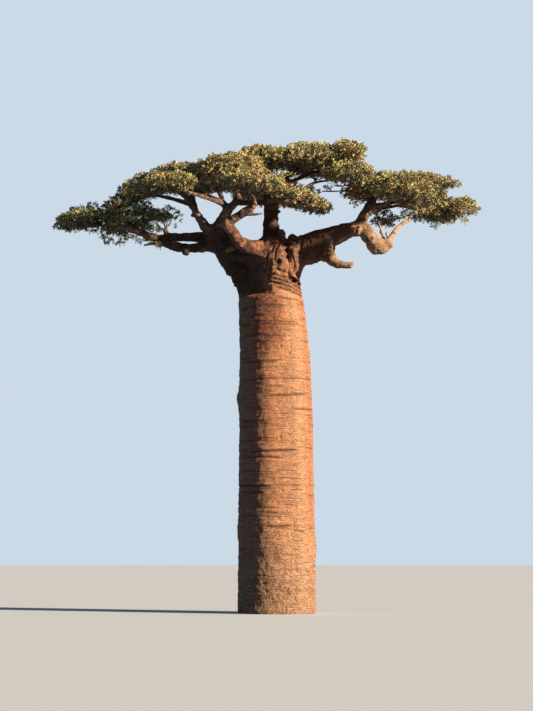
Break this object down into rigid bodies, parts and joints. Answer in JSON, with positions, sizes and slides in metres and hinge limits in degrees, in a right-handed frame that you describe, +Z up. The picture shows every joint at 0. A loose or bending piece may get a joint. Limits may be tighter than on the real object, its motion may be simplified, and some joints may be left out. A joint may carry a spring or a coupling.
{
  "type": "baobab tree",
  "caption": "Tall baobab with a stout straight trunk, short level boughs and flat cushions of leaves; fixed in the ground by the flat cut under its trunk.",
  "frame": {"origin": "middle of the flat cut under the trunk, at ground level", "axes": "+Z up the trunk from level ground, +X to the right in the main view, along the crown's longer spread, +Y away from the main viewer"},
  "size_m": [19.4679, 12.7174, 21.6568],
  "materials": {
    "bark": "smooth reddish-brown bark with fine level wrinkles, greyer and rougher low down",
    "leaves": "olive to yellow-green leaves with a dull sheen"
  },
  "bodies": {
    "root": {"trunk": "bark", "bough_left_base": "bark", "bough_left_up": "bark", "bough_left_mid": "bark", "bough_left_side": "bark", "bough_left_front": "bark", "bough_left_arm_upper": "bark", "bough_left_arm_lower": "bark", "bough_left_arm_end": "bark", "bough_front_left": "bark", "bough_front_rise": "bark", "bough_front_cross": "bark", "bough_upright": "bark", "bough_upright_left": "bark", "bough_upright_right": "bark", "bough_right_arm": "bark", "bough_right_up": "bark", "bough_right_out": "bark", "bough_right_upper": "bark", "bough_right_left": "bark", "bough_right_front": "bark", "bough_right_down": "bark", "bough_right_elbow": "bark", "bough_right_tip": "bark", "bough_right_tuft": "bark", "stub_right_root": "bark", "stub_right_tip": "bark", "bough_back_stem": "bark", "bough_back_left": "bark", "bough_back_left_out": "bark", "bough_back_right": "bark", "bough_back_right_out": "bark", "bough_inner_left": "bark", "bough_inner_right": "bark", "leaves_left_tip": "leaves", "leaves_left_mid": "leaves", "leaves_left_in": "leaves", "leaves_up_left_far": "leaves", "leaves_up_left": "leaves", "leaves_front_left": "leaves", "leaves_centre_left": "leaves", "leaves_shelf_left": "leaves", "leaves_shelf_right": "leaves", "leaves_top_left": "leaves", "leaves_top_mid": "leaves", "leaves_top_right": "leaves", "leaves_right_mid": "leaves", "leaves_right_inner": "leaves", "leaves_right_upper": "leaves", "leaves_right_lower": "leaves", "leaves_right_tip": "leaves", "leaves_front_right": "leaves", "leaves_tuft": "leaves", "leaves_back_left": "leaves", "leaves_back_mid": "leaves", "leaves_back_right": "leaves", "leaves_back_right_far": "leaves", "leaves_inner_left": "leaves", "leaves_inner_right": "leaves"}
  },
  "joints": []
}
